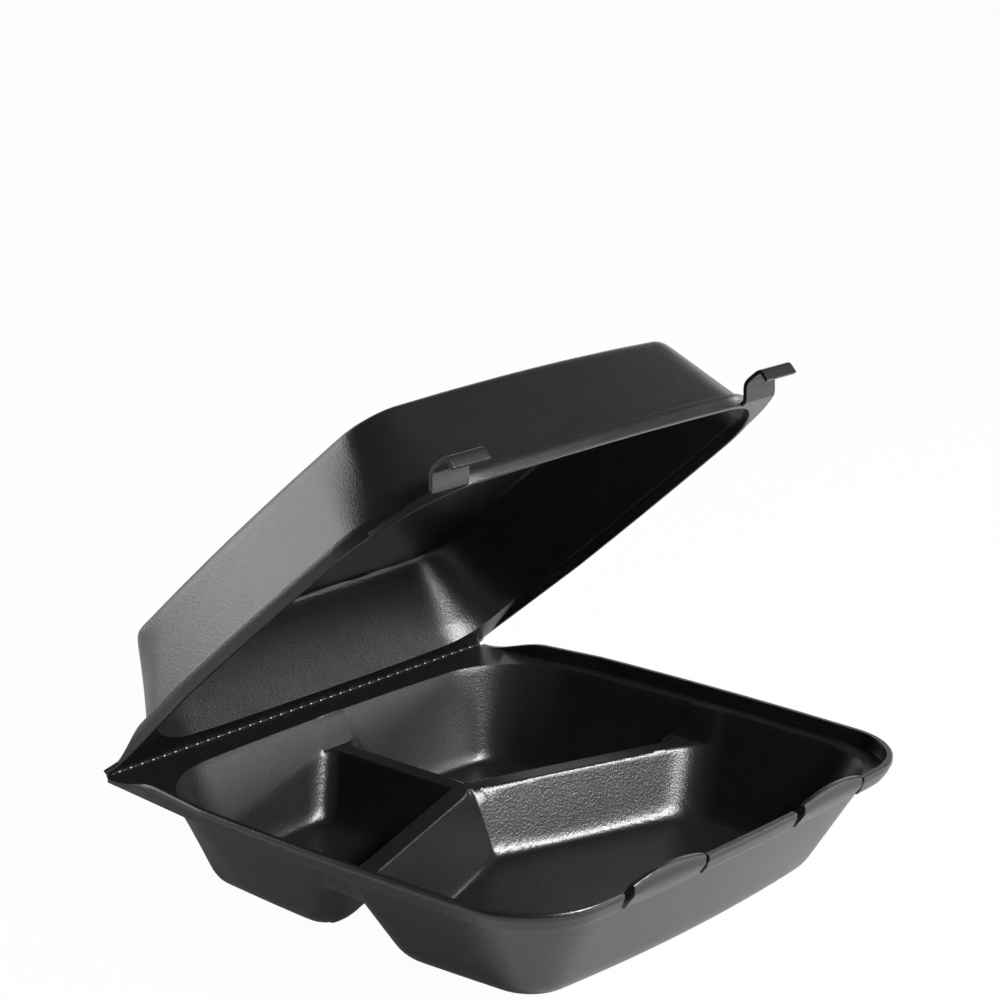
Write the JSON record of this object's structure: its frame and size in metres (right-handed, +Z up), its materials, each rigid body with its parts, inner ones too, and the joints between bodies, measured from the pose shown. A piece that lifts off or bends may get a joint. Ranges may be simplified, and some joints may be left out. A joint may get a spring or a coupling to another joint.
{
  "type": "foam clamshell container",
  "caption": "Black foam takeaway container: tray with a Y-shaped divider, stepped rim and front latches, and a hinged lid with two hooked tabs.",
  "frame": {"origin": "middle of the footprint with the lid open as in the picture, on the table", "axes": "+Z up from the table, +Y towards the hinge, +X to the right seen from the front rim"},
  "size_m": [0.229, 0.233, 0.1955],
  "materials": {
    "foam": "satin black foamed polystyrene with a faint grain"
  },
  "bodies": {
    "tray_body": {"tray": "foam"},
    "lid_body": {"lid": "foam"}
  },
  "joints": [
    {"name": "lid_hinge", "type": "hinge", "parent": "tray_body", "child": "lid_body", "pos_m": [0, 0.10439, 0.0398], "axis": [-1, 0, 0], "range_deg": [-40.9, 134]}
  ]
}
